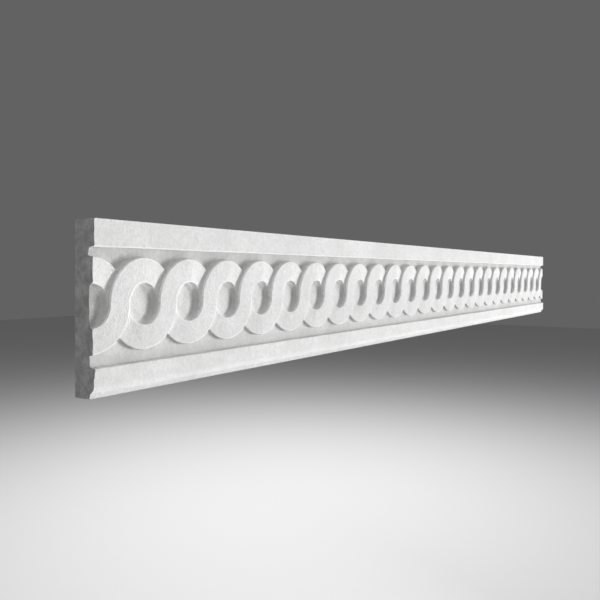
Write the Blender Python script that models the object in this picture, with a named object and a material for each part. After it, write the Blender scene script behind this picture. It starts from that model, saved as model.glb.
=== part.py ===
"""Cast plaster frieze: a running guilloche in a sunk channel between two plain fillets.

Metres. X runs along the frieze, the carved face looks along -Y, Z is up.
The origin is at the centre of the flat back face, which lies in the plane y = 0.
Both ends are cut square through the centre of an eye of the guilloche.
"""
import math

import bmesh
import bpy
from mathutils import Vector
from mathutils.geometry import delaunay_2d_cdt

# One length of the frieze and the number of eyes that share it
LENGTH = 1.0
REPEATS = 26

# Section through the casting, from the top down
TOP_FILLET = 0.0156
UPPER_MARGIN = 0.0046
BAND_BASE_WIDTH = 0.0153
BAND_FACE_WIDTH = 0.0142
LOWER_MARGIN = 0.0061
BOTTOM_FILLET = 0.0170

# Depths, from the front of the fillets to the back
THICKNESS = 0.0150
CHANNEL_DEPTH = 0.0040
BAND_SETBACK = 0.0006
FILLET_DRAFT = 0.0005
BOTTOM_CHAMFER_HEIGHT = 0.0054
BOTTOM_CHAMFER_DEPTH = 0.0056

# How far the end of each hook sinks before it dives under the next band
UPPER_HOOK_SINK = 0.0016
LOWER_HOOK_SINK = 0.0012
SINK_STARTS = math.radians(90)
SINK_ENDS = math.radians(45)

# Straight pieces in a quarter circle
ARC_STEPS = 10
STEP = math.pi / 2 / ARC_STEPS

PLASTER_COLOUR = (0.86, 0.86, 0.85, 1.0)

# What follows from the sizes above
PITCH = round(LENGTH / REPEATS, 9)
EYE_RADIUS = (PITCH - BAND_BASE_WIDTH) / 2
OUTER_RADIUS = (PITCH + BAND_BASE_WIDTH) / 2
BAND_INSET = (BAND_BASE_WIDTH - BAND_FACE_WIDTH) / 2
BAND_RELIEF = CHANNEL_DEPTH - BAND_SETBACK
CHANNEL_TOP = OUTER_RADIUS + UPPER_MARGIN
CHANNEL_FOOT = -OUTER_RADIUS - LOWER_MARGIN
HEIGHT = TOP_FILLET + CHANNEL_TOP - CHANNEL_FOOT + BOTTOM_FILLET
AXIS_Z = HEIGHT / 2 - TOP_FILLET - CHANNEL_TOP
GROUND_Y = CHANNEL_DEPTH - THICKNESS
WELD = 0.000002

LEFT_EYE = (0.0, 0.0)
RIGHT_EYE = (PITCH, 0.0)
GROUND, BAND, UPPER_HOOK, LOWER_HOOK = range(4)


def clear_scene():
    for old in list(bpy.data.objects):
        bpy.data.objects.remove(old, do_unlink=True)


def plaster():
    material = bpy.data.materials.new("plaster")
    material.use_nodes = True
    shader = material.node_tree.nodes["Principled BSDF"]
    shader.inputs["Base Color"].default_value = PLASTER_COLOUR
    shader.inputs["Roughness"].default_value = 0.85
    return material


def arc(centre, radius, first, last):
    """Points on a circle, in whole steps from one quarter line to another."""
    points = []
    for k in range(first * ARC_STEPS, last * ARC_STEPS + 1):
        turn = k * STEP
        across = round(centre[0] + radius * math.cos(turn), 9)
        points.append((across, round(centre[1] + radius * math.sin(turn), 9)))
    return points


def inside(point, centre, radius):
    """True for a point within the many-sided figure that stands for a circle."""
    du = point[0] - centre[0]
    dv = point[1] - centre[1]
    sector = math.floor(math.atan2(dv, du) / STEP)
    middle = (sector + 0.5) * STEP
    return math.hypot(du, dv) * math.cos(math.atan2(dv, du) - middle) < radius * math.cos(STEP / 2)


def region(point):
    """Which surface covers a point of one repeat, from the eye on its left to the eye on its right."""
    if inside(point, LEFT_EYE, EYE_RADIUS) or inside(point, RIGHT_EYE, EYE_RADIUS):
        return GROUND
    above = point[1] > 0
    band_eye, hook_eye = (RIGHT_EYE, LEFT_EYE) if above else (LEFT_EYE, RIGHT_EYE)
    if inside(point, band_eye, OUTER_RADIUS):
        return BAND
    if inside(point, hook_eye, OUTER_RADIUS):
        return UPPER_HOOK if above else LOWER_HOOK
    return GROUND


def hook_level(point, eye, sink):
    """Height of a hook over the ground, as a share of the band's relief."""
    turn = math.atan2(abs(point[1] - eye[1]), abs(point[0] - eye[0]))
    way = (SINK_STARTS - turn) / (SINK_STARTS - SINK_ENDS)
    way = min(max(way, 0.0), 1.0)
    return 1.0 - sink / BAND_RELIEF * way


def slope_in(point, eye, share):
    """Moves a point on the foot of a band up its sloping wall, towards the middle of the band."""
    du = point[0] - eye[0]
    dv = point[1] - eye[1]
    distance = math.hypot(du, dv)
    away = 1.0 if distance < PITCH / 2 else -1.0
    scale = (distance + away * BAND_INSET * share) / distance
    return (eye[0] + du * scale, eye[1] + dv * scale)


def on_band_foot(point):
    """True where a point lies on the outline of the band that lies on top."""
    eye = RIGHT_EYE if point[1] > -WELD else LEFT_EYE
    distance = math.hypot(point[0] - eye[0], point[1] - eye[1])
    return distance > OUTER_RADIUS * math.cos(STEP / 2) - WELD and distance < OUTER_RADIUS + WELD


def place(point, kind):
    """Where a point of the flat plan lies in the casting, for the surface that it belongs to."""
    lift = 0.0
    moved = point
    band_eye = RIGHT_EYE if point[1] >= 0 else LEFT_EYE
    if kind == BAND:
        lift = 1.0
        moved = slope_in(point, band_eye, lift)
    elif kind in (UPPER_HOOK, LOWER_HOOK):
        upper = kind == UPPER_HOOK
        eye = LEFT_EYE if upper else RIGHT_EYE
        top_eye = RIGHT_EYE if upper else LEFT_EYE
        lift = hook_level(point, eye, UPPER_HOOK_SINK if upper else LOWER_HOOK_SINK)
        moved = slope_in(point, top_eye if on_band_foot(point) else eye, lift)
    return Vector((moved[0], GROUND_Y - BAND_RELIEF * lift, AXIS_Z + moved[1]))


def plan_of_repeat():
    """Flat plan of one repeat: its points, its triangles and the surface each triangle is on."""
    points = []
    edges = []
    chains = []
    for eye, first, last in ((LEFT_EYE, -1, 1), (RIGHT_EYE, 1, 3)):
        for radius in (EYE_RADIUS, OUTER_RADIUS):
            chains.append(arc(eye, radius, first, last))
    frame = [(0.0, CHANNEL_TOP), (0.0, CHANNEL_FOOT), (PITCH, CHANNEL_FOOT), (PITCH, CHANNEL_TOP)]
    chains.append(frame + [frame[0]])
    for chain in chains:
        start = len(points)
        points.extend(Vector(spot) for spot in chain)
        edges.extend((start + k, start + k + 1) for k in range(len(chain) - 1))
    flat = delaunay_2d_cdt(points, edges, [], 1, WELD)
    spots = [(spot[0], spot[1]) for spot in flat[0]]
    faces = []
    for corners in flat[2]:
        middle = (sum(spots[k][0] for k in corners) / 3, sum(spots[k][1] for k in corners) / 3)
        faces.append((corners, region(middle)))
    return spots, faces


def wall_between(spots, kinds_at, first, second, low, high):
    """Corners of the wall that rises from one surface to another along an edge of the plan."""
    corners = []
    for spot, order in ((first, 1), (second, -1)):
        ends = sorted((place(spots[spot], kind).y for kind in (low, high)), reverse=True)
        column = [place(spots[spot], kind) for kind in kinds_at[spot]]
        column = [corner for corner in column if ends[1] - WELD < corner.y < ends[0] + WELD]
        column.sort(key=lambda corner: -corner.y)
        corners.extend(column if order == 1 else reversed(column))
    kept = []
    for corner in corners:
        if not kept or (corner - kept[-1]).length > WELD:
            kept.append(corner)
    if len(kept) > 1 and (kept[0] - kept[-1]).length < WELD:
        kept.pop()
    return kept


def surfaces_of_repeat():
    """Every carved face of one repeat, as lists of corners: the tops, and the walls between them."""
    spots, faces = plan_of_repeat()
    kinds_at = {}
    sides = {}
    for corners, kind in faces:
        for place_in_face, spot in enumerate(corners):
            after = corners[(place_in_face + 1) % 3]
            kinds_at.setdefault(spot, set()).add(kind)
            sides.setdefault((min(spot, after), max(spot, after)), []).append(kind)
    polygons = [[place(spots[spot], kind) for spot in corners] for corners, kind in faces]
    for (first, second), kinds in sides.items():
        if len(kinds) == 2 and kinds[0] != kinds[1]:
            wall = wall_between(spots, kinds_at, first, second, kinds[0], kinds[1])
            if len(wall) > 2:
                polygons.append(wall)
    return polygons


def section_of_slab():
    """Outline of the slab round the channel, as (y, z), from the channel's top edge to its foot."""
    top = HEIGHT / 2
    foot = -HEIGHT / 2
    upper = AXIS_Z + CHANNEL_TOP
    lower = AXIS_Z + CHANNEL_FOOT
    return [
        (GROUND_Y, upper),
        (-THICKNESS, upper + FILLET_DRAFT),
        (-THICKNESS, top),
        (0.0, top),
        (0.0, foot),
        (BOTTOM_CHAMFER_DEPTH - THICKNESS, foot),
        (-THICKNESS, foot + BOTTOM_CHAMFER_HEIGHT),
        (-THICKNESS, lower - FILLET_DRAFT),
        (GROUND_Y, lower),
    ]


def add_polygon(mesh, corners, shift):
    moved = [mesh.verts.new(corner + shift) for corner in corners]
    mesh.faces.new(moved)


def frieze_mesh():
    """The repeats side by side, closed by the slab's back and edges and by the two cut ends."""
    mesh = bmesh.new()
    carved = surfaces_of_repeat()
    section = section_of_slab()
    for number in range(REPEATS):
        shift = Vector(((number - REPEATS / 2) * PITCH, 0.0, 0.0))
        for corners in carved:
            add_polygon(mesh, corners, shift)
        for (y0, z0), (y1, z1) in zip(section, section[1:]):
            strip = [(0.0, y0, z0), (PITCH, y0, z0), (PITCH, y1, z1), (0.0, y1, z1)]
            add_polygon(mesh, [Vector(corner) for corner in strip], shift)
    bmesh.ops.remove_doubles(mesh, verts=mesh.verts, dist=WELD)
    rims = [edge for edge in mesh.edges if len(edge.link_faces) == 1]
    bmesh.ops.holes_fill(mesh, edges=rims, sides=0)
    bmesh.ops.triangulate(mesh, faces=mesh.faces, ngon_method="EAR_CLIP")
    bmesh.ops.recalc_face_normals(mesh, faces=mesh.faces)
    return mesh


def frieze():
    data = bpy.data.meshes.new("frieze")
    mesh = frieze_mesh()
    mesh.to_mesh(data)
    mesh.free()
    piece = bpy.data.objects.new("frieze", data)
    bpy.context.scene.collection.objects.link(piece)
    data.materials.append(plaster())
    for face in data.polygons:
        face.use_smooth = True
    data.set_sharp_from_angle(angle=math.radians(25))
    return piece


def main():
    clear_scene()
    frieze()


main()
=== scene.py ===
"""Looks of the cast plaster frieze: softened arrises, dished eyes, casting flaws and chalky plaster."""

import math

import bmesh
import bpy
import numpy as np
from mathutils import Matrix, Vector, noise
from mathutils.geometry import delaunay_2d_cdt


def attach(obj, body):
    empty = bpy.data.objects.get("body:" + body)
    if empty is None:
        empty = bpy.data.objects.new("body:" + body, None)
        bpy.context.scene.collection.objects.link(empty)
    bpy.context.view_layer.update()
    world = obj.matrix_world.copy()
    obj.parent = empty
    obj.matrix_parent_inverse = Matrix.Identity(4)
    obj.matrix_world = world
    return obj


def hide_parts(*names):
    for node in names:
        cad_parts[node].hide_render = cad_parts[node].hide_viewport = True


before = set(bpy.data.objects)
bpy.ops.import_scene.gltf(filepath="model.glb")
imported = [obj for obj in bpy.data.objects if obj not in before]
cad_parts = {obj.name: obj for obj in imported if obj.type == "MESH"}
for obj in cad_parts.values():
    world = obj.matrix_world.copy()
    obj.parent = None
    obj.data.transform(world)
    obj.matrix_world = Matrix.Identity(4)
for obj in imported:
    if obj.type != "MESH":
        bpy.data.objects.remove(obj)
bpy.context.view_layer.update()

# The casting's sizes, in metres
LENGTH = 1.0
REPEATS = 26
TOP_FILLET = 0.0156
UPPER_MARGIN = 0.0046
BAND_BASE_WIDTH = 0.0153
BAND_FACE_WIDTH = 0.0142
LOWER_MARGIN = 0.0061
BOTTOM_FILLET = 0.0170
THICKNESS = 0.0150
CHANNEL_DEPTH = 0.0040
BAND_SETBACK = 0.0006
FILLET_DRAFT = 0.0005
BOTTOM_CHAMFER_HEIGHT = 0.0054
BOTTOM_CHAMFER_DEPTH = 0.0056

PITCH = round(LENGTH / REPEATS, 9)
EYE_RADIUS = (PITCH - BAND_BASE_WIDTH) / 2
OUTER_RADIUS = (PITCH + BAND_BASE_WIDTH) / 2
BAND_INSET = (BAND_BASE_WIDTH - BAND_FACE_WIDTH) / 2
RELIEF = CHANNEL_DEPTH - BAND_SETBACK
CHANNEL_TOP = OUTER_RADIUS + UPPER_MARGIN
CHANNEL_FOOT = -OUTER_RADIUS - LOWER_MARGIN
HEIGHT = TOP_FILLET + CHANNEL_TOP - CHANNEL_FOOT + BOTTOM_FILLET
AXIS_Z = HEIGHT / 2 - TOP_FILLET - CHANNEL_TOP
TOP = HEIGHT / 2 - AXIS_Z
FOOT = -HEIGHT / 2 - AXIS_Z
GROUND = THICKNESS - CHANNEL_DEPTH

# How far a band is lower above and below an eye than half way between two eyes,
# and how far its end sinks further, as a hook that dives under the next band
BOW = 0.0005
BOW_POWER = 1.5
UPPER_HOOK_SINK = 0.0015
LOWER_HOOK_SINK = 0.0010
SINK_STARTS = math.radians(90)
SINK_ENDS = math.radians(45)
SINK_POWER = 1.15

# How the sunk ground rises: to the eyes' rims, to the bands, to the lower fillet and in the lower notches
EYE_RISE = 0.0009
EYE_REACH = 0.0034
EYE_OVERLAP = 0.001
SWEEP_RISE = 0.0003
SWEEP_REACH = 0.0044
CORNER_RISE = 0.0006
CORNER_REACH = 0.0028
NOTCH_RISE = 0.0006
NOTCH_REACH = 0.0080
SPANDREL_DEEPER = 0.0010

# How round the arrises and the inner corners are
ARRIS = 0.0005
FILLET_ARRIS = 0.0006
ARRIS_DEPTH = 0.8
COVE = 0.0005
CROSSING_ROUND = 0.0003
CHAMFER_ROUND = 0.0008

# Rings of points along each band's edge, as distances in from its foot, and the other rings round an eye
EDGE_RINGS = (
    -0.0009, -0.0004, 0.0, 0.00028, 0.00055, 0.0006, 0.00069, 0.00083, 0.00098, 0.00118, 0.0019, 0.0036,
)
SWEEP_RINGS = (0.0016, 0.0024, 0.0033, 0.0042)
EYE_RINGS = (0.0036, 0.0068, 0.0082, 0.0094, 0.0104)
FACE_RING_GAP = 0.0033
COVER_MARGIN = 0.00025
ARC_STEPS = 18
STEP = math.pi / 2 / ARC_STEPS

# Rows of points along the fillets, as distances from the channel's edge and from the chamfer's fold
COLUMNS = 24
FILLET_ROWS = (-0.0012, -0.0004, 0, 0.00025, 0.0005, 0.00055, 0.00064, 0.00078, 0.00094, 0.0011, 0.0016)
FOLD_ROWS = (-0.0014, -0.0006, 0, 0.0006, 0.0014)
CORNER_ROWS = (0.0008, 0.0020)
TOP_ROWS = (0.0004, 0.0015)
FOOT_ROWS = (0.0008, 0.0024)
WELD = 0.000002

# How far the loose points on the ground keep from the repeat's sides and from the channel's edges
SIDE_CLEARANCE = 0.0002
FOOT_CLEARANCE = 0.0016
TOP_CLEARANCE = 0.0008
HALF_WAY_MARGIN = 0.0001

# Rows of the slab's edges, each as a share of the depth of the row before
BACK_STEPS = (0.85, 0.8, 0.5, 0.0)

# What keeps the uneven front inside the casting's thickness, and how near the rims the unevenness fades
FRONT_CLEARANCE = 0.00001
END_FADE = 0.004
RIM_FADE = 0.002
SEED_SPACING = 7.31

# How far the mould's slow and quick unevenness moves a point, in the plane of the face and out of it
SLOW_SHIFT = 0.00022
QUICK_ALONG = 0.00013
QUICK_UP = 0.00010
SLOW_SWELL = 0.00012
QUICK_SWELL = 0.00004

# Breaks along the sawn arrises: what every point loses, and the small and the deep bites,
# each with the share of the noise that it starts from and the most that counts
LEAST_BITE = 0.00012
SMALL_BITE = 0.00060
SMALL_BITE_START = -0.15
SMALL_BITE_MOST = 0.8
DEEP_BITE = 0.0016
DEEP_BITE_START = 0.25
DEEP_BITE_MOST = 0.4
BITE_FROM = 0.002
BITE_RAMP = 0.011

WHITE_LOW = (0.79, 0.79, 0.785, 1)
WHITE_HIGH = (0.89, 0.89, 0.888, 1)
MOTTLE_GREY = (0.70, 0.70, 0.695, 1)
# Painted shade for the sunk hollows; the same grey is the dirt in the pin holes
SHADE_AND_PIT_GREY = (0.46, 0.46, 0.455, 1)
MARK_GREY = (0.40, 0.40, 0.395, 1)
# Painted highlight along the front arrises
HIGHLIGHT_WHITE = (0.96, 0.96, 0.955, 1)
# Painted shade for the sawn ends, matched to the near end that faces away from the key light and given to
# both; the blotchy mix of the two greys is the raw cut's own mottle
CUT_SHADE_DARK = (0.36, 0.36, 0.36, 1)
CUT_SHADE_LIGHT = (0.62, 0.62, 0.615, 1)
FLOOR_COLOUR = (0.8, 0.8, 0.8, 1)

# Depths between which marks come in: over the slab's edges, on the sunk ground and on the bands' faces
SLAB_TO_FRONT = (-0.0085, -0.0100)
FACE_TO_GROUND = (-0.0130, -0.0116)
GROUND_TO_FACE = (-0.0126, -0.0131)

# Share of painted shade on the sunk ground, and what the sheltered places have on top of it; the pin holes'
# share is dirt
GROUND_SHADE = 0.14
ABOVE_SHADE = 0.38
BELOW_SHADE = 0.15
EYE_SHADE = 0.55
CORE_SHADE = 0.42
CUT_EYE_SHADE = 0.7
HOOK_FOOT_SHADE = 0.80
FILLET_PIT_DIRT = 0.50

# Where the painted shade lies, as heights from the eyes' centre line and as places across an eye
SHADE_HEIGHTS_ABOVE = (0.014, 0.022)
SHADE_HEIGHTS_BELOW = (-0.014, -0.022)
EYE_SHADE_ACROSS = (-0.004, 0.010)
EYE_SHADE_LEAN = 0.6
EYE_RIM = 0.0006
CUT_EYE_WIDTH = (0.0060, 0.0020)
CORE_FROM_RIM = 0.0060
CORE_HALF_WIDTH = (0.0026, 0.0010)

# The ragged painted shade at the foot of each lower hook: its height, its place across and its half width
HOOK_SHADE_BELOW = (-0.0175, -0.0190)
HOOK_SHADE_ACROSS = (-0.0060, -0.0085)
HOOK_SHADE_HALF_WIDTH = (0.0009, 0.0005)
HOOK_SHADE_OUTSIDE = 0.0002
HOOK_SHADE_RAGGED = 0.0030

# The pin holes over the top fillet's lower arris, as heights over the channel's edge
PITS_START = (0.0003, 0.0008)
PITS_END = (0.0034, 0.0012)

# Carving marks on the bands' walls: specks, and a line at one depth
SPECK_SHARE = 0.55
LINE_SHARE = 0.60
LINE_DEPTH = 0.0128
LINE_HALF_WIDTH = (0.00040, 0.00012)
LINE_RAGGED = 0.0022
STEEP = (0.80, 0.45)
MARKS_REACH = (0.0360, 0.0345)

# How wide the painted highlight along an arris is, and how far in from the arris it lies
HIGHLIGHT_WIDTH = 0.00065
HIGHLIGHT_INSET = 0.0001
HIGHLIGHT_RAGGED = 0.0006
HOOK_SHOWS = (-0.0001, 0.0002)

# The sawn ends: how deep in they count as cut, and how squarely a face has to look along the frieze
CUT_DEPTH = (0.0012, 0.0010)
CUT_FACING = (0.35, 0.5)

# The camera, from the photograph: focal length and horizon in pixels of a square image
IMAGE_SIZE = 600
SENSOR = 36
FOCAL_PIXELS = 683.16
HORIZON_PIXELS = -26.13
CAMERA_PLACE = (-0.74705, -0.30324, 0.01868)
CAMERA_TURN = 57.397

FLOOR_LEVEL = -6
FLOOR_SIZE = 160
WORLD_STRENGTH = 0.122


def smooth_min(a, b, k):
    """The lower of two heights, with the crease between them rounded over a depth k."""
    h = np.clip(0.5 + 0.5 * (b - a) / k, 0.0, 1.0)
    return b * (1 - h) + a * h - k * h * (1 - h)


def smooth_max(a, b, k):
    return -smooth_min(-a, -b, k)


def ease(x):
    x = np.clip(x, 0.0, 1.0)
    return x * x * (3 - 2 * x)


def swept(distance, reach):
    """Share of a rise, from 1 at its wall to 0 where it meets the level ground."""
    return np.clip(1 - distance / reach, 0, 1) ** 2


def edge(into, draft, top, arris):
    """Height over the ground of a leaning wall and its rounded arris, at a distance in from its foot."""
    shoulder = top - ARRIS_DEPTH * arris
    wall = shoulder / draft * into
    turned = np.clip(1 - (into - draft) / arris, 0.0, 1.0)
    rounded = shoulder + ARRIS_DEPTH * arris * np.sqrt(1 - turned ** 2)
    return np.where(into < draft, wall, rounded)


def band_height(off_centre, top):
    """Height of a band over the ground, from the distance to its centre line and its top's height."""
    return edge(BAND_BASE_WIDTH / 2 - off_centre, BAND_INSET, top, ARRIS)


def hook_top(u, v, eye, sink):
    """Top of a band's end: it sinks on its way down to the band that covers it."""
    turn = np.arctan2(np.abs(v), np.abs(u - eye))
    share = np.clip((SINK_STARTS - turn) / (SINK_STARTS - SINK_ENDS), 0.0, 1.0)
    return RELIEF - BOW - sink * share ** SINK_POWER


def over_top(u, v, eye):
    """Top of the band that lies over the other: highest half way between two eyes."""
    turn = np.arctan2(np.abs(v), np.abs(u - eye))
    return RELIEF - BOW * (turn / (math.pi / 2)) ** BOW_POWER


def bands_height(u, v, left, right):
    """Height over the ground of the band on top and of the hook beside it."""
    above = v >= 0
    over_eye = np.where(above, PITCH, 0.0)
    top_band = band_height(np.abs(np.where(above, right, left) - PITCH / 2), over_top(u, v, over_eye))
    sink = np.where(above, UPPER_HOOK_SINK, LOWER_HOOK_SINK)
    hook_eye = np.where(above, 0.0, PITCH)
    hook = band_height(np.abs(np.where(above, left, right) - PITCH / 2), hook_top(u, v, hook_eye, sink))
    return smooth_max(top_band, hook, CROSSING_ROUND)


def ground_height(v, left, right):
    """Rise of the sunk ground, dished in the eyes and swept up to the bands outside them."""
    near = np.minimum(left, right)
    dish = EYE_RISE * swept(EYE_RADIUS - near, EYE_REACH)
    sweep = SWEEP_RISE * swept(np.maximum(near - OUTER_RADIUS, 0.0), SWEEP_REACH)
    sweep += CORNER_RISE * swept(v - CHANNEL_FOOT, CORNER_REACH)
    sweep += NOTCH_RISE * ease(1 - (left + right - 2 * OUTER_RADIUS) / NOTCH_REACH) * (v < 0)
    sweep -= SPANDREL_DEEPER * ease((CHANNEL_TOP - v) / UPPER_MARGIN) * (v > 0)
    return np.where(near < EYE_RADIUS + EYE_OVERLAP, dish, sweep)


def front(u, v):
    """How far the face stands in front of the back, over a repeat that starts and ends at an eye."""
    left = np.hypot(u, v)
    right = np.hypot(u - PITCH, v)
    carved = GROUND + smooth_max(bands_height(u, v, left, right), ground_height(v, left, right), COVE)
    into = np.maximum(v - CHANNEL_TOP, CHANNEL_FOOT - v)
    fillets = GROUND + edge(into, FILLET_DRAFT, CHANNEL_DEPTH, FILLET_ARRIS)
    chamfer = THICKNESS - BOTTOM_CHAMFER_DEPTH + (v - FOOT) * BOTTOM_CHAMFER_DEPTH / BOTTOM_CHAMFER_HEIGHT
    fillets = smooth_min(fillets, chamfer, CHAMFER_ROUND)
    return smooth_max(carved, fillets, COVE)


def ring(eye, radius, first, last):
    """Points of a ring round an eye, in whole steps from one quarter line to another."""
    points = []
    for k in range(first * ARC_STEPS, last * ARC_STEPS + 1):
        across = round(eye + radius * math.cos(k * STEP), 9)
        points.append((across, round(radius * math.sin(k * STEP), 9)))
    return points


def on_top_band(point, margin):
    """True where the band that lies on top, widened by a margin, covers a point."""
    eye = PITCH if point[1] >= 0 else 0.0
    off_centre = abs(math.hypot(point[0] - eye, point[1]) - PITCH / 2)
    return off_centre < BAND_BASE_WIDTH / 2 + margin


def in_sight(eye, spots):
    """The points of a ring round an eye, with None for each one that another band covers."""
    shown = []
    for spot in spots:
        on_top = (eye > 0) == (spot[1] >= 0)
        covered = not on_top and on_top_band(spot, COVER_MARGIN)
        shown.append(None if covered else spot)
    return shown


def across_at(row):
    """Points of a straight row along the whole repeat."""
    return [(round(PITCH * k / COLUMNS, 9), row) for k in range(COLUMNS + 1)]


class Plan:
    """Flat plan of one repeat: its points, and the lines that its triangles have to follow."""

    def __init__(self):
        self.points = []
        self.lines = []

    def add(self, spot):
        self.points.append(Vector(spot))

    def chain(self, spots):
        """Adds a row of points and joins each one to the next, with a gap at None."""
        before = None
        for spot in spots:
            now = None
            if spot is not None:
                now = len(self.points)
                self.add(spot)
            if now is not None and before is not None:
                self.lines.append((before, now))
            before = now

    def bands(self):
        for eye, first, last in ((0.0, -1, 1), (PITCH, 1, 3)):
            for into in EDGE_RINGS:
                for radius in (EYE_RADIUS + into, OUTER_RADIUS - into):
                    self.chain(in_sight(eye, ring(eye, radius, first, last)))
            for radius in EYE_RINGS:
                self.chain(ring(eye, radius, first, last)[::2])
            self.add((eye, 0.0))
            for gap in (-FACE_RING_GAP, 0, FACE_RING_GAP):
                self.chain(in_sight(eye, ring(eye, PITCH / 2 + gap, first, last)))

    def ground(self):
        """Loose points on the sunk ground round the bands, clear of the lines that bound it."""
        for eye in (0.0, PITCH):
            for gap in SWEEP_RINGS:
                for across, up in ring(eye, OUTER_RADIUS + gap, -1, 3):
                    nearest = abs(across - eye) < PITCH / 2 + HALF_WAY_MARGIN
                    clear = SIDE_CLEARANCE < across < PITCH - SIDE_CLEARANCE
                    in_channel = CHANNEL_FOOT + FOOT_CLEARANCE < up < CHANNEL_TOP - TOP_CLEARANCE
                    if nearest and clear and in_channel:
                        self.add((across, up))

    def fillets(self):
        rows = [CHANNEL_TOP + step for step in FILLET_ROWS]
        rows += [CHANNEL_FOOT - step for step in FILLET_ROWS]
        rows += [TOP - step for step in TOP_ROWS]
        plain = TOP - CHANNEL_TOP - (FILLET_ROWS[-1] + TOP_ROWS[-1])
        rows += [CHANNEL_TOP + FILLET_ROWS[-1] + plain * k / 6 for k in range(1, 6)]
        fold = FOOT + BOTTOM_CHAMFER_HEIGHT
        rows += [fold + step for step in FOLD_ROWS]
        plain = CHANNEL_FOOT - fold - (FILLET_ROWS[-1] + FOLD_ROWS[-1])
        rows += [fold + FOLD_ROWS[-1] + plain * k / 5 for k in range(1, 5)]
        rows += [FOOT + step for step in FOOT_ROWS]
        for row in rows:
            self.chain(across_at(row))
        for k in range(1, COLUMNS):
            for step in CORNER_ROWS:
                self.add((PITCH * k / COLUMNS, CHANNEL_FOOT + step))
        self.chain(across_at(TOP))
        self.chain(across_at(FOOT))

    def triangles(self):
        flat = delaunay_2d_cdt(self.points, self.lines, [], 0, WELD)
        return flat[0], [face for face in flat[2] if len(face) == 3]


def wander(x, z, seed, size, detail=3):
    """Smooth noise between about -1 and 1 over the face, with features of a given size."""
    spot = Vector((x / size, seed * SEED_SPACING, z / size))
    return noise.fractal(spot, 0.8, 2.0, detail, noise_basis="PERLIN_ORIGINAL")


def cast_flaws(x, z):
    """Small unevenness of a hand-run mould: moves along, up and in or out."""
    along = SLOW_SHIFT * wander(x, z, 1, 0.030) + QUICK_ALONG * wander(x, z, 6, 0.0045)
    up = SLOW_SHIFT * wander(x, z, 2, 0.034) + QUICK_UP * wander(x, z, 7, 0.005)
    out = SLOW_SWELL * wander(x, z, 3, 0.022) + QUICK_SWELL * wander(x, z, 4, 0.004)
    return along, up, out


def fade(room, reach):
    """Share from 0 at an edge of the casting to 1 at a given distance from it."""
    return min(1.0, max(0.0, room / reach))


def frieze_mesh():
    """The repeats side by side, with their flaws, closed by the back, the edges and the cut ends."""
    drawing = Plan()
    drawing.bands()
    drawing.ground()
    drawing.fillets()
    spots, faces = drawing.triangles()
    u = np.array([spot[0] for spot in spots])
    v = np.array([spot[1] for spot in spots])
    depth = front(u, v)
    mesh = bmesh.new()
    for number in range(REPEATS):
        start = (number - REPEATS / 2) * PITCH
        made = []
        for k in range(len(spots)):
            x = start + u[k]
            z = AXIS_Z + v[k]
            along, up, out = cast_flaws(x, z)
            place = (
                x + along * fade(LENGTH / 2 - abs(x), END_FADE),
                -min(depth[k] + out, THICKNESS - FRONT_CLEARANCE),
                z + up * fade(HEIGHT / 2 - abs(z), RIM_FADE),
            )
            made.append(mesh.verts.new(place))
        for face in faces:
            mesh.faces.new([made[k] for k in face])
    bmesh.ops.remove_doubles(mesh, verts=mesh.verts, dist=WELD)
    close_back(mesh)
    break_ends(mesh)
    bmesh.ops.recalc_face_normals(mesh, faces=mesh.faces)
    put_in_order(mesh)
    return mesh


def ranks(parts, key):
    """For each point or face, by its number, how many come before it."""
    parts.index_update()
    before = [0] * len(parts)
    for rank, part in enumerate(sorted(parts, key=key)):
        before[part.index] = rank
    return before


def put_in_order(mesh):
    """Sorts the points and faces by place, so that every run lists them alike."""
    corners = ranks(mesh.verts, lambda corner: tuple(corner.co))
    faces = ranks(mesh.faces, lambda face: sorted(corners[corner.index] for corner in face.verts))
    mesh.verts.sort(key=lambda corner: corners[corner.index])
    mesh.faces.sort(key=lambda face: faces[face.index])


def open_rim(mesh):
    return [side for side in mesh.edges if len(side.link_faces) == 1]


def close_back(mesh):
    """The plain top and bottom edges, the flat back and the two cut ends."""
    for share in BACK_STEPS:
        grown = bmesh.ops.extrude_edge_only(mesh, edges=open_rim(mesh))
        for part in grown["geom"]:
            if isinstance(part, bmesh.types.BMVert):
                part.co.y *= share
    bmesh.ops.holes_fill(mesh, edges=open_rim(mesh), sides=0)
    bmesh.ops.triangulate(mesh, faces=[face for face in mesh.faces if len(face.verts) > 4])


def break_ends(mesh):
    """Small breaks along the sawn arrises of the two ends, strongest at the front."""
    for corner in mesh.verts:
        x, y, z = corner.co
        if abs(x) > LENGTH / 2 - FRONT_CLEARANCE:
            small = wander(y * 2.5 + x, z, 5, 0.0050, detail=4) - SMALL_BITE_START
            deep = wander(y * 1.5 + x, z, 8, 0.0110, detail=2) - DEEP_BITE_START
            small = SMALL_BITE * min(max(small, 0.0), SMALL_BITE_MOST)
            deep = DEEP_BITE * min(max(deep, 0.0), DEEP_BITE_MOST)
            near_front = float(ease((-y - BITE_FROM) / BITE_RAMP))
            bite = (LEAST_BITE + small + deep) * near_front
            corner.co.x = math.copysign(abs(x) - bite, x)


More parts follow.
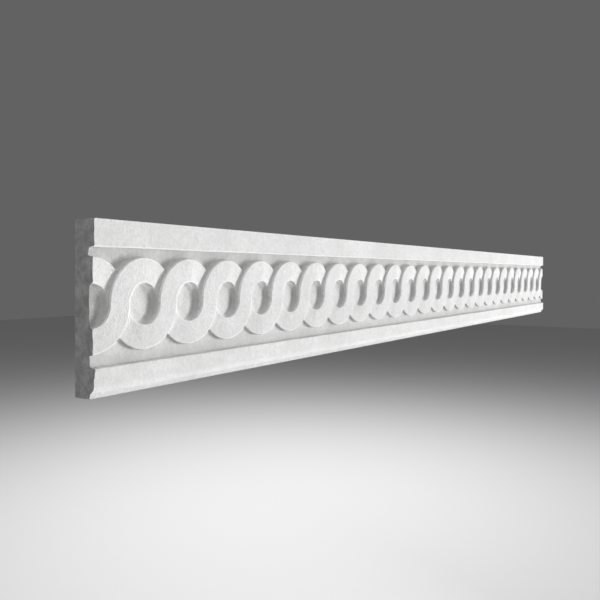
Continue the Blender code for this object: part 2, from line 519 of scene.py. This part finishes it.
class Nodes:
    """Short hand for adding shader nodes and joining them."""

    def __init__(self, material):
        material.use_nodes = True
        self.tree = material.node_tree
        self.shader = self.tree.nodes["Principled BSDF"]
        self.place = self.tree.nodes.new("ShaderNodeTexCoord").outputs["Object"]
        self.across, self.depth, height = self.split(self.place)
        self.up = self.math("SUBTRACT", height, AXIS_Z)

    def join(self, source, socket):
        if isinstance(source, bpy.types.NodeSocket):
            self.tree.links.new(source, socket)
        else:
            socket.default_value = source

    def split(self, source):
        """The three parts of a place or a direction."""
        node = self.tree.nodes.new("ShaderNodeSeparateXYZ")
        self.join(source, node.inputs[0])
        return node.outputs["X"], node.outputs["Y"], node.outputs["Z"]

    def noise(self, scale, detail, rough):
        node = self.tree.nodes.new("ShaderNodeTexNoise")
        node.inputs["Scale"].default_value = scale
        node.inputs["Detail"].default_value = detail
        node.inputs["Roughness"].default_value = rough
        self.join(self.place, node.inputs["Vector"])
        return node.outputs["Fac"]

    def ragged(self, scale, rough, width):
        """A noise about zero that moves a mark's outline over a given width."""
        return self.product(self.math("SUBTRACT", self.noise(scale, 3, rough), 0.5), width)

    def cells(self, scale):
        node = self.tree.nodes.new("ShaderNodeTexVoronoi")
        node.inputs["Scale"].default_value = scale
        self.join(self.place, node.inputs["Vector"])
        return node.outputs["Distance"]

    def span(self, source, low, high, bottom=0.0, top=1.0):
        """A smooth step: bottom where the source is at low, top where it is at high."""
        node = self.tree.nodes.new("ShaderNodeMapRange")
        node.interpolation_type = "SMOOTHSTEP"
        for name, value in (("From Min", low), ("From Max", high), ("To Min", bottom), ("To Max", top)):
            node.inputs[name].default_value = value
        self.join(source, node.inputs["Value"])
        return node.outputs["Result"]

    def math(self, kind, a, b=0.0, c=0.0):
        node = self.tree.nodes.new("ShaderNodeMath")
        node.operation = kind
        self.join(a, node.inputs[0])
        self.join(b, node.inputs[1])
        self.join(c, node.inputs[2])
        return node.outputs[0]

    def fold(self, kind, first, others):
        for other in others:
            first = self.math(kind, first, other)
        return first

    def product(self, first, *others):
        return self.fold("MULTIPLY", first, others)

    def total(self, first, *others):
        return self.fold("ADD", first, others)

    def most(self, first, *others):
        return self.fold("MAXIMUM", first, others)

    def size(self, source):
        return self.math("ABSOLUTE", source)

    def from_centre(self, across):
        """Distance to a point on the eyes' centre line, from the distance along that line."""
        squares = self.total(self.math("POWER", across, 2.0), self.math("POWER", self.up, 2.0))
        return self.math("SQRT", squares)

    def blend(self, share, a, b):
        node = self.tree.nodes.new("ShaderNodeMix")
        node.data_type = "RGBA"
        self.join(share, node.inputs[0])
        self.join(a, node.inputs[6])
        self.join(b, node.inputs[7])
        return node.outputs[2]

    def bump(self, height, strength, depth, under=None):
        node = self.tree.nodes.new("ShaderNodeBump")
        node.inputs["Strength"].default_value = strength
        node.inputs["Distance"].default_value = depth
        self.join(height, node.inputs["Height"])
        if under is not None:
            self.join(under, node.inputs["Normal"])
        return node.outputs["Normal"]


def eye_core_shade(kit, from_eye, in_eye):
    """Painted shade in an eye's deepest part, in a crescent along its right-hand rim, where the cast shadow
    is darkest.
    """
    half_chord = kit.math("SUBTRACT", EYE_RADIUS ** 2, kit.math("POWER", kit.up, 2.0))
    half_chord = kit.math("SQRT", kit.most(half_chord, 0.0))
    off_core = kit.math("SUBTRACT", from_eye, kit.math("SUBTRACT", half_chord, CORE_FROM_RIM))
    specks = kit.span(kit.noise(scale=560, detail=3, rough=0.7), 0.38, 0.60, bottom=0.4)
    return kit.product(kit.span(kit.size(off_core), *CORE_HALF_WIDTH), in_eye, specks)


def painted_ground_shade(kit, from_eye, near, blotch):
    """Painted shade on the sunk ground, darker in the eyes, in the half eye at each cut end and beside the
    fillets.
    """
    in_eye = kit.span(near, EYE_RADIUS + EYE_RIM, EYE_RADIUS - EYE_RIM)
    from_cut = [width - LENGTH / 2 for width in CUT_EYE_WIDTH]
    in_cut_eye = kit.product(in_eye, kit.span(kit.across, *from_cut))
    lean = kit.total(from_eye, kit.product(kit.up, EYE_SHADE_LEAN))
    to_the_right = kit.span(lean, *EYE_SHADE_ACROSS, top=0.8)
    share = kit.total(
        kit.product(in_eye, to_the_right, EYE_SHADE),
        kit.product(kit.span(kit.up, *SHADE_HEIGHTS_ABOVE), ABOVE_SHADE),
        kit.product(eye_core_shade(kit, from_eye, in_eye), CORE_SHADE),
        kit.product(kit.span(kit.up, *SHADE_HEIGHTS_BELOW), BELOW_SHADE),
        kit.product(in_cut_eye, CUT_EYE_SHADE),
        GROUND_SHADE,
    )
    return kit.product(share, kit.span(blotch, 0.25, 0.75, bottom=0.75, top=1.25))


def painted_hook_shade(kit, from_eye, near):
    """Ragged line of painted shade at the lower left foot of each hook, where its wall faces away from the
    key light.
    """
    off_rim = kit.math("SUBTRACT", near, OUTER_RADIUS + HOOK_SHADE_OUTSIDE)
    off_rim = kit.total(off_rim, kit.ragged(380, 0.7, HOOK_SHADE_RAGGED))
    line = kit.span(kit.size(off_rim), *HOOK_SHADE_HALF_WIDTH)
    low = kit.span(kit.up, *HOOK_SHADE_BELOW)
    return kit.product(line, low, kit.span(from_eye, *HOOK_SHADE_ACROSS), HOOK_FOOT_SHADE)


def fillet_pits(kit):
    """Dark pin holes just above the lower arris of the top fillet."""
    above = kit.span(kit.up, *[CHANNEL_TOP + height for height in PITS_START])
    below = kit.span(kit.up, *[CHANNEL_TOP + height for height in PITS_END])
    holes = kit.span(kit.noise(scale=520, detail=2, rough=0.6), 0.57, 0.66)
    return kit.product(above, below, holes, FILLET_PIT_DIRT)


def shade_and_pits(kit, blotch):
    """Share of painted shade in the hollows and of dirt in the pin holes: none on the bands' faces, the
    back and the slab's edges.
    """
    from_eye = kit.math("WRAP", kit.across, PITCH / 2, -PITCH / 2)
    near = kit.from_centre(from_eye)
    carved = kit.span(kit.depth, *SLAB_TO_FRONT)
    sunk = kit.product(carved, kit.span(kit.depth, *FACE_TO_GROUND))
    # Painted shade at the hooks' feet, and dirt in the pin holes
    hook_shade_and_pits = kit.most(painted_hook_shade(kit, from_eye, near), fillet_pits(kit))
    return kit.most(kit.product(painted_ground_shade(kit, from_eye, near, blotch), sunk), kit.product(hook_shade_and_pits, carved))


def wall_marks(kit, facing):
    """Share of dark specks and of a wavering line left by the carving on the steep walls of the bands."""
    steep = kit.span(kit.size(facing), *STEEP)
    specks = kit.span(kit.noise(scale=620, detail=3, rough=0.7), 0.52, 0.62)
    level = kit.total(kit.depth, kit.ragged(230, 0.6, LINE_RAGGED))
    line = kit.span(kit.size(kit.total(level, LINE_DEPTH)), *LINE_HALF_WIDTH)
    share = kit.most(kit.product(specks, SPECK_SHARE), kit.product(line, LINE_SHARE))
    in_channel = kit.span(kit.size(kit.up), *MARKS_REACH)
    return kit.product(share, steep, in_channel)


def arris_highlights(kit, blotch):
    """Share of painted highlight, in clean white, along the front arrises of the bands and of the top
    fillet.
    """
    along = kit.math("WRAP", kit.across, PITCH, 0.0)
    upper = kit.math("GREATER_THAN", kit.up, 0.0)
    lower = kit.math("SUBTRACT", 1.0, upper)
    own = kit.from_centre(kit.math("SUBTRACT", along, kit.product(upper, PITCH)))
    other = kit.from_centre(kit.math("SUBTRACT", along, kit.product(lower, PITCH)))
    ragged = kit.ragged(300, 0.6, HIGHLIGHT_RAGGED)

    def line(distance, radius):
        off = kit.size(kit.total(kit.math("SUBTRACT", distance, radius), ragged))
        return kit.span(off, HIGHLIGHT_WIDTH, HIGHLIGHT_WIDTH / 3)

    outer_arris = OUTER_RADIUS - BAND_INSET - HIGHLIGHT_INSET
    uncovered = kit.span(own, *[OUTER_RADIUS + gap for gap in HOOK_SHOWS])
    marks = kit.most(
        line(own, outer_arris),
        kit.product(line(other, outer_arris), uncovered),
        line(kit.math("MINIMUM", own, other), EYE_RADIUS + BAND_INSET + HIGHLIGHT_INSET),
        line(kit.up, CHANNEL_TOP + FILLET_DRAFT + HIGHLIGHT_INSET),
    )
    on_faces = kit.span(kit.depth, *GROUND_TO_FACE)
    return kit.product(marks, on_faces, kit.span(blotch, 0.35, 0.55, bottom=0.5))


def cut_ends(kit, facing):
    """1 on the sawn ends and 0 elsewhere."""
    at_end = kit.span(kit.size(kit.across), *[LENGTH / 2 - depth for depth in CUT_DEPTH])
    return kit.product(at_end, kit.span(kit.size(facing), *CUT_FACING))


def pin_holes(kit):
    """1 on the plain surface and 0 in small pits, which come in a few places only."""
    pits = kit.math("SUBTRACT", 1.0, kit.span(kit.cells(420), 0.0, 0.16))
    rare = kit.span(kit.noise(scale=160, detail=2, rough=0.5), 0.56, 0.62)
    return kit.math("SUBTRACT", 1.0, kit.product(pits, rare))


def plaster():
    """Chalk-white plaster: faint mottling, painted shade in the hollows, painted highlights on the front
    arrises, pin holes with dirt in them, and a rougher cut end painted greyer as shade.
    """
    material = bpy.data.materials.new("plaster_chalky")
    kit = Nodes(material)
    geometry = kit.tree.nodes.new("ShaderNodeNewGeometry")
    facing_along, facing_out, _ = kit.split(geometry.outputs["True Normal"])
    clouds = kit.noise(scale=28, detail=5, rough=0.65)
    blotch = kit.noise(scale=150, detail=5, rough=0.75)
    speck = kit.noise(scale=420, detail=3, rough=0.8)
    grain = kit.noise(scale=900, detail=3, rough=0.7)
    white = kit.blend(kit.span(clouds, 0.3, 0.7), WHITE_LOW, WHITE_HIGH)
    white = kit.blend(kit.span(blotch, 0.52, 0.72, top=0.4), white, MOTTLE_GREY)
    white = kit.blend(kit.span(speck, 0.38, 0.66, top=0.60), white, MOTTLE_GREY)
    # Painted shade in the hollows, and dirt in the pin holes
    white = kit.blend(shade_and_pits(kit, blotch), white, SHADE_AND_PIT_GREY)
    white = kit.blend(wall_marks(kit, facing_out), white, MARK_GREY)
    # Painted highlights along the front arrises of the bands and the top fillet
    white = kit.blend(arris_highlights(kit, blotch), white, HIGHLIGHT_WHITE)
    # Both sawn ends painted darker grey as shade, with the raw cut's own blotchy mottle
    cut_shade_grey = kit.blend(kit.span(blotch, 0.3, 0.72), CUT_SHADE_DARK, CUT_SHADE_LIGHT)
    kit.join(kit.blend(cut_ends(kit, facing_along), white, cut_shade_grey), kit.shader.inputs["Base Color"])
    kit.join(kit.span(blotch, 0.3, 0.7, bottom=0.82, top=0.95), kit.shader.inputs["Roughness"])
    kit.shader.inputs["Specular IOR Level"].default_value = 0.25
    under = kit.bump(clouds, strength=0.35, depth=0.0014)
    under = kit.bump(blotch, strength=0.55, depth=0.0009, under=under)
    under = kit.bump(pin_holes(kit), strength=0.6, depth=0.0004, under=under)
    under = kit.bump(grain, strength=0.8, depth=0.0004, under=under)
    kit.join(under, kit.shader.inputs["Normal"])
    return material


def frieze():
    data = bpy.data.meshes.new("frieze_cast")
    mesh = frieze_mesh()
    mesh.to_mesh(data)
    mesh.free()
    data.materials.append(plaster())
    for face in data.polygons:
        face.use_smooth = True
    data.set_sharp_from_angle(angle=math.radians(50))
    piece = bpy.data.objects.new("frieze_cast", data)
    bpy.context.scene.collection.objects.link(piece)
    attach(piece, "root")
    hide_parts("frieze")


def floor():
    bpy.ops.mesh.primitive_plane_add(size=FLOOR_SIZE, location=(0, 0, FLOOR_LEVEL))
    plane = bpy.context.object
    plane.name = "floor"
    material = bpy.data.materials.new("floor_pale")
    material.use_nodes = True
    shader = material.node_tree.nodes["Principled BSDF"]
    shader.inputs["Base Color"].default_value = FLOOR_COLOUR
    shader.inputs["Roughness"].default_value = 0.9
    plane.data.materials.append(material)


def area_light(name, place, aim, size, power):
    data = bpy.data.lights.new(name, "AREA")
    data.shape = "RECTANGLE"
    data.size, data.size_y = size
    data.energy = power
    lamp = bpy.data.objects.new(name, data)
    lamp.location = place
    lamp.rotation_euler = (Vector(aim) - Vector(place)).to_track_quat("-Z", "Y").to_euler()
    bpy.context.scene.collection.objects.link(lamp)


def studio():
    """A tall soft light far to the right, weak ones below and in front, and one over the floor."""
    world = bpy.data.worlds.new("studio")
    bpy.context.scene.world = world
    world.use_nodes = True
    world.node_tree.nodes["Background"].inputs["Color"].default_value = (1, 1, 1, 1)
    world.node_tree.nodes["Background"].inputs["Strength"].default_value = WORLD_STRENGTH
    middle = (0, 0, 0)
    area_light("key", (9.05, -3.95, -0.60), middle, (1.3, 3.6), 1115)
    area_light("below", (3.2, -1.5, -2.9), middle, (3.0, 3.0), 102)
    area_light("fill", (-2.9, -4.0, 3.0), middle, (4.0, 4.0), 105)
    area_light("over_floor", (15, 10, 9), (15, 10, 0), (16, 16), 3000)
    bpy.context.scene.view_settings.view_transform = "Standard"


def camera():
    """Level view from the left, close to the near end, as in the photograph."""
    data = bpy.data.cameras.new("camera")
    data.sensor_width = SENSOR
    data.lens = FOCAL_PIXELS / IMAGE_SIZE * SENSOR
    data.shift_y = HORIZON_PIXELS / IMAGE_SIZE
    data.clip_start = 0.01
    view = bpy.data.objects.new("camera", data)
    view.location = CAMERA_PLACE
    view.rotation_euler = (math.radians(90), 0, -math.radians(CAMERA_TURN))
    bpy.context.scene.collection.objects.link(view)
    bpy.context.scene.camera = view


frieze()
floor()
studio()
camera()
